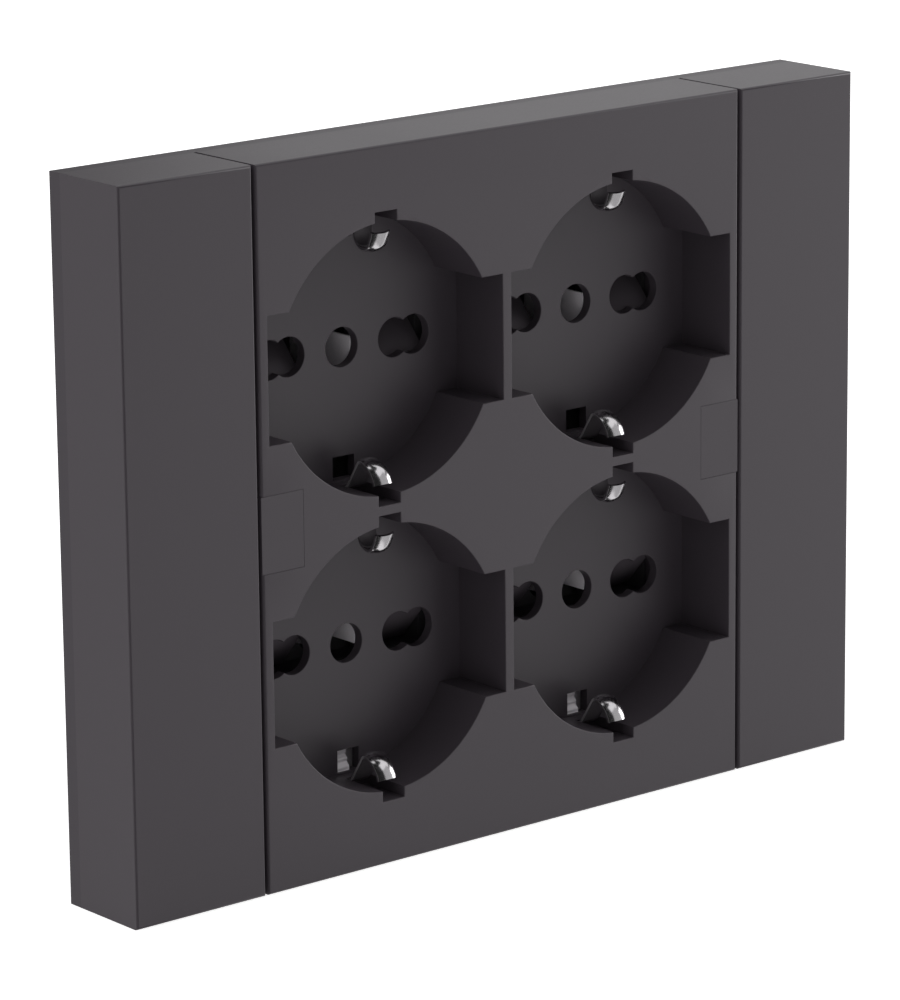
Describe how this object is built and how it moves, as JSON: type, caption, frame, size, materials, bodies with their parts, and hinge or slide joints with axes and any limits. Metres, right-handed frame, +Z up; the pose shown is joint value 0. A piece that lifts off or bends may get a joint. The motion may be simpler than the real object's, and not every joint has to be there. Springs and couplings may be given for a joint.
{
  "type": "recessed quadruple socket",
  "caption": "Flush wall socket plate with a grid of round universal plug recesses between two plain side trims, with sliding shutters, contact carrier and rear cover.",
  "frame": {"origin": "centre of the mounting frame's back, in the wall plane, midway between the two box screw holes", "axes": "+X right along the plate as seen from the room, +Y into the wall, +Z up"},
  "size_m": [0.1346, 0.0425, 0.1036],
  "materials": {
    "plate_plastic": "fine satin, anthracite",
    "frame_plastic": "satin, anthracite",
    "carrier_plastic": "matt, black-grey",
    "shutter_plastic": "matt, black",
    "insulator_plastic": "matt, natural",
    "clip_steel": "bright nickel",
    "earth_steel": "zinc-plated sheet",
    "spring_steel": "drawn wire",
    "screw_steel": "zinc-plated",
    "contact_brass": "stamped"
  },
  "bodies": {
    "housing": {"carrier_screw_left": "screw_steel", "carrier_screw_middle": "screw_steel", "carrier_screw_right": "screw_steel", "contact_carrier": "carrier_plastic", "cover_screw_left": "screw_steel", "cover_screw_right": "screw_steel", "earth_clip_lower_left_bottom": "clip_steel", "earth_clip_lower_left_top": "clip_steel", "earth_clip_lower_right_bottom": "clip_steel", "earth_clip_lower_right_top": "clip_steel", "earth_clip_upper_left_bottom": "clip_steel", "earth_clip_upper_left_top": "clip_steel", "earth_clip_upper_right_bottom": "clip_steel", "earth_clip_upper_right_top": "clip_steel", "earth_fork_lower_left": "earth_steel", "earth_fork_lower_right": "earth_steel", "earth_fork_upper_left": "earth_steel", "earth_fork_upper_right": "earth_steel", "earth_link": "earth_steel", "earth_plate": "earth_steel", "earth_terminal": "contact_brass", "earth_terminal_screw": "screw_steel", "front_panel": "plate_plastic", "insulator_strip": "insulator_plastic", "line_busbar": "contact_brass", "line_contact_lower_left": "contact_brass", "line_contact_lower_right": "contact_brass", "line_contact_upper_left": "contact_brass", "line_contact_upper_right": "contact_brass", "line_terminal": "contact_brass", "line_terminal_screw": "screw_steel", "mounting_frame": "frame_plastic", "neutral_busbar": "contact_brass", "neutral_contact_lower_left": "contact_brass", "neutral_contact_lower_right": "contact_brass", "neutral_contact_upper_left": "contact_brass", "neutral_contact_upper_right": "contact_brass", "neutral_terminal": "contact_brass", "neutral_terminal_screw": "screw_steel", "rear_cover": "carrier_plastic", "screw_cap_left": "plate_plastic", "screw_cap_right": "plate_plastic", "shutter_spring_lower_left": "spring_steel", "shutter_spring_lower_right": "spring_steel", "shutter_spring_upper_left": "spring_steel", "shutter_spring_upper_right": "spring_steel", "trim_left": "plate_plastic", "trim_right": "plate_plastic"},
    "shutter_upper_left": {"shutter_upper_left": "shutter_plastic"},
    "shutter_upper_right": {"shutter_upper_right": "shutter_plastic"},
    "shutter_lower_left": {"shutter_lower_left": "shutter_plastic"},
    "shutter_lower_right": {"shutter_lower_right": "shutter_plastic"}
  },
  "joints": [
    {"name": "shutter_upper_left_slide", "type": "slide", "parent": "housing", "child": "shutter_upper_left", "axis": [0, 0, -1], "range_m": [0, 0.0062], "stiffness_N_per_m": 60, "springref_m": -0.004, "deforming": ["shutter_spring_upper_left"]},
    {"name": "shutter_upper_right_slide", "type": "slide", "parent": "housing", "child": "shutter_upper_right", "axis": [0, 0, -1], "range_m": [0, 0.0062], "stiffness_N_per_m": 60, "springref_m": -0.004, "deforming": ["shutter_spring_upper_right"]},
    {"name": "shutter_lower_left_slide", "type": "slide", "parent": "housing", "child": "shutter_lower_left", "axis": [0, 0, 1], "range_m": [0, 0.0062], "stiffness_N_per_m": 60, "springref_m": -0.004, "deforming": ["shutter_spring_lower_left"]},
    {"name": "shutter_lower_right_slide", "type": "slide", "parent": "housing", "child": "shutter_lower_right", "axis": [0, 0, 1], "range_m": [0, 0.0062], "stiffness_N_per_m": 60, "springref_m": -0.004, "deforming": ["shutter_spring_lower_right"]}
  ]
}
